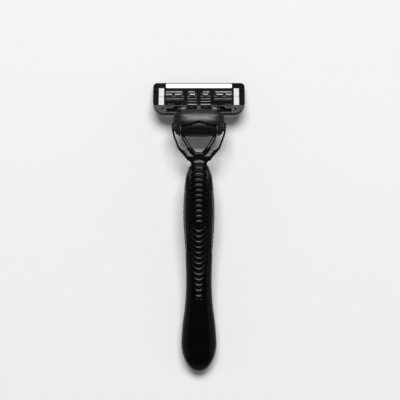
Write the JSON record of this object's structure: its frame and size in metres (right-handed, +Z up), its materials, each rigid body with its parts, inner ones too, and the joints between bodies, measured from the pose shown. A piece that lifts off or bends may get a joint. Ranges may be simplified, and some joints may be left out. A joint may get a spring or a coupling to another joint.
{
  "type": "cartridge razor",
  "caption": "Wet shaving razor with a ribbed rubber grip, a forked neck, a domed head with a push release and a detachable pivoting multi-blade cartridge",
  "frame": {"origin": "on the table plane, under the middle of the razor's bounding box, as it lies face down", "axes": "+X across the cartridge, +Y from the tail to the cartridge (the longest extent), +Z up from the table (the shortest extent)"},
  "size_m": [0.0428, 0.1351, 0.0197],
  "materials": {
    "handle_plastic": "fine satin moulded black plastic",
    "grip_rubber": "soft black overmoulded rubber with raised crescent ribs",
    "inset_plastic": "satin black inset",
    "yoke_plastic": "glossy black moulded plastic",
    "head_plastic": "satin black plastic with fine turned grain",
    "base_plastic": "plain moulded black plastic",
    "button_plastic": "satin dark plastic with a scooped thumb face",
    "spring_steel": "bright spring wire",
    "steel_rod": "plain turned steel",
    "cartridge_plastic": "semi-gloss black moulded plastic",
    "lubricating_strip": "waxy white strip",
    "guard_rubber": "soft black rubber fins",
    "clip_aluminium": "bright satin aluminium strip",
    "blade_steel": "ground and coated stainless edge",
    "support_steel": "bent stainless strip"
  },
  "bodies": {
    "handle": {"handle_core": "handle_plastic", "weight_rod": "steel_rod", "thumb_grip": "grip_rubber", "finger_grip": "grip_rubber", "tail_inset": "inset_plastic", "neck_yoke": "yoke_plastic", "head_housing": "head_plastic", "head_base": "base_plastic", "button_springs": "spring_steel", "plunger_spring": "spring_steel"},
    "button": {"release_button": "button_plastic"},
    "plunger": {"plunger": "base_plastic"},
    "connector": {"connector": "head_plastic"},
    "cartridge": {"cartridge_frame": "cartridge_plastic", "lubricating_strip": "lubricating_strip", "guard_fins": "guard_rubber", "clip_left": "clip_aluminium", "clip_right": "clip_aluminium", "blade_1": "blade_steel", "blade_2": "blade_steel", "blade_3": "blade_steel", "blade_4": "blade_steel", "blade_5": "blade_steel", "blade_support_1": "support_steel", "blade_support_2": "support_steel", "blade_support_3": "support_steel", "blade_support_4": "support_steel", "blade_support_5": "support_steel"}
  },
  "joints": [
    {"name": "release_button_slide", "type": "slide", "parent": "handle", "child": "button", "axis": [0, 1, 0], "range_m": [0, 0.0024], "stiffness_N_per_m": 400, "springref_m": -0.001, "deforming": ["button_springs"]},
    {"name": "plunger_slide", "type": "slide", "parent": "handle", "child": "plunger", "axis": [0, -1, 0], "range_m": [0, 0.00107], "deforming": ["plunger_spring"]},
    {"name": "cartridge_release", "type": "slide", "parent": "handle", "child": "connector", "axis": [0, 1, 0], "range_m": [0, 0.012]},
    {"name": "cartridge_pivot", "type": "hinge", "parent": "connector", "child": "cartridge", "pos_m": [0, 0.05422, 0.01322], "axis": [1, 0, 0], "range_deg": [0, 40], "stiffness_Nm_per_rad": 0.01, "springref_deg": -28.65}
  ],
  "couplings": [
    {"joint": "plunger_slide", "follows": "cartridge_pivot", "m_per_rad": 0.001528}
  ]
}
